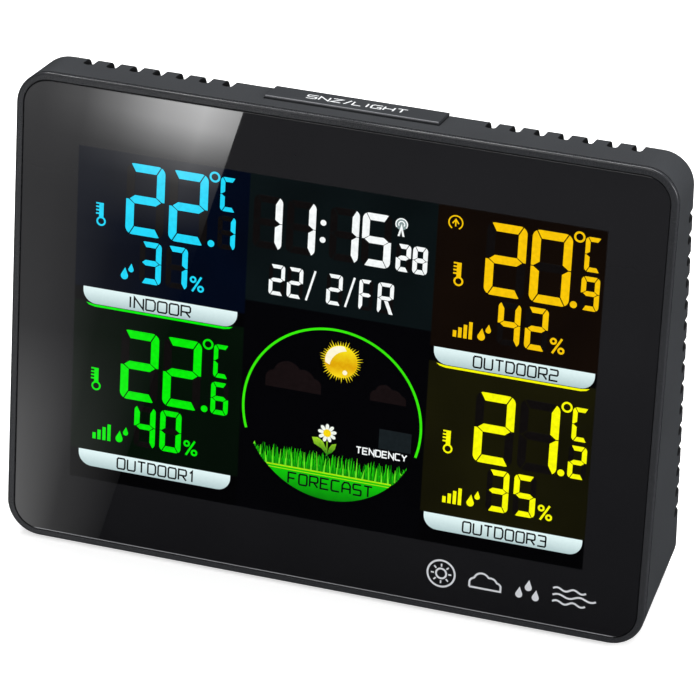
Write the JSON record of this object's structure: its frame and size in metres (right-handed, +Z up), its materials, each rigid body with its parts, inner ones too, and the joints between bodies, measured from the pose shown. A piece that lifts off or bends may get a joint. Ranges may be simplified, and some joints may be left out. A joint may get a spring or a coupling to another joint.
{
  "type": "home weather station",
  "caption": "Wedge-shaped desk weather station with a colour LCD behind a gloss lens, bar button on top, rear keys, battery bay and power inlet.",
  "frame": {"origin": "middle of the footprint, on the surface it stands on", "axes": "+Z up, +X to the viewer's right, -Y towards the viewer, whom the front faces"},
  "size_m": [0.19, 0.0562, 0.1362],
  "materials": {
    "frame_plastic": "fine matt",
    "case_plastic": "fine matt",
    "button_plastic": "fine matt",
    "white_plastic": "satin",
    "lens": "gloss",
    "lcd": "polished",
    "tape": "matt",
    "film": "satin",
    "acrylic": "clear",
    "led": "gloss",
    "board": "solder mask",
    "elastomer": "matt",
    "epoxy": "gloss",
    "component": "satin",
    "brass_wire": "bright",
    "ferrite": "matt",
    "copper": "lacquered",
    "cell": "gloss wrap",
    "steel": "plated",
    "sensor": "satin",
    "label": "satin",
    "rubber": "matt"
  },
  "bodies": {
    "case": {"front_frame": "frame_plastic", "lens_window": "lens", "lens_tape": "tape", "lcd_panel": "lcd", "diffuser_sheet": "film", "light_guide": "acrylic", "reflector_sheet": "film", "backlight_leds": "led", "backlight_boards": "board", "display_holder": "white_plastic", "contact_strips": "elastomer", "main_board": "board", "controller_chip": "epoxy", "board_components": "component", "buzzer": "component", "radio_board": "board", "radio_aerial": "brass_wire", "ferrite_rod": "ferrite", "aerial_coil": "copper", "aerial_clips": "white_plastic", "rear_housing": "case_plastic", "battery_1": "cell", "battery_2": "cell", "battery_3": "cell", "battery_springs": "steel", "battery_contacts": "steel", "bar_switch_board": "board", "bar_switches": "component", "rear_switches": "component", "power_jack": "component", "jack_board": "board", "sensor_board": "board", "climate_sensor": "sensor", "rating_label": "label", "rubber_feet": "rubber", "case_screws": "steel", "holder_screws": "steel", "board_screws": "steel", "bar_board_screws": "steel", "jack_board_screws": "steel", "sensor_screw": "steel"},
    "battery_door": {"battery_door": "case_plastic"},
    "bar_button": {"bar_button": "case_plastic"},
    "button_set": {"button_set": "button_plastic"},
    "button_mode": {"button_mode": "button_plastic"},
    "button_up": {"button_up": "button_plastic"},
    "button_down": {"button_down": "button_plastic"},
    "button_channel": {"button_channel": "button_plastic"},
    "button_alarm": {"button_alarm": "button_plastic"}
  },
  "joints": [
    {"name": "bar_button_press", "type": "slide", "parent": "case", "child": "bar_button", "axis": [0, -0.2924, -0.9563], "range_m": [0, 0.001], "stiffness_N_per_m": 900, "springref_m": -0.0012},
    {"name": "battery_door_lift", "type": "slide", "parent": "case", "child": "battery_door", "axis": [0, 0.9925, -0.1219], "range_m": [0, 0.025]},
    {"name": "button_set_press", "type": "slide", "parent": "case", "child": "button_set", "axis": [0, -0.9925, 0.1219], "range_m": [0, 0.0008], "stiffness_N_per_m": 900, "springref_m": -0.0012},
    {"name": "button_mode_press", "type": "slide", "parent": "case", "child": "button_mode", "axis": [0, -0.9925, 0.1219], "range_m": [0, 0.0008], "stiffness_N_per_m": 900, "springref_m": -0.0012},
    {"name": "button_up_press", "type": "slide", "parent": "case", "child": "button_up", "axis": [0, -0.9925, 0.1219], "range_m": [0, 0.0008], "stiffness_N_per_m": 900, "springref_m": -0.0012},
    {"name": "button_down_press", "type": "slide", "parent": "case", "child": "button_down", "axis": [0, -0.9925, 0.1219], "range_m": [0, 0.0008], "stiffness_N_per_m": 900, "springref_m": -0.0012},
    {"name": "button_channel_press", "type": "slide", "parent": "case", "child": "button_channel", "axis": [0, -0.9925, 0.1219], "range_m": [0, 0.0008], "stiffness_N_per_m": 900, "springref_m": -0.0012},
    {"name": "button_alarm_press", "type": "slide", "parent": "case", "child": "button_alarm", "axis": [0, -0.9925, 0.1219], "range_m": [0, 0.0008], "stiffness_N_per_m": 900, "springref_m": -0.0012}
  ]
}
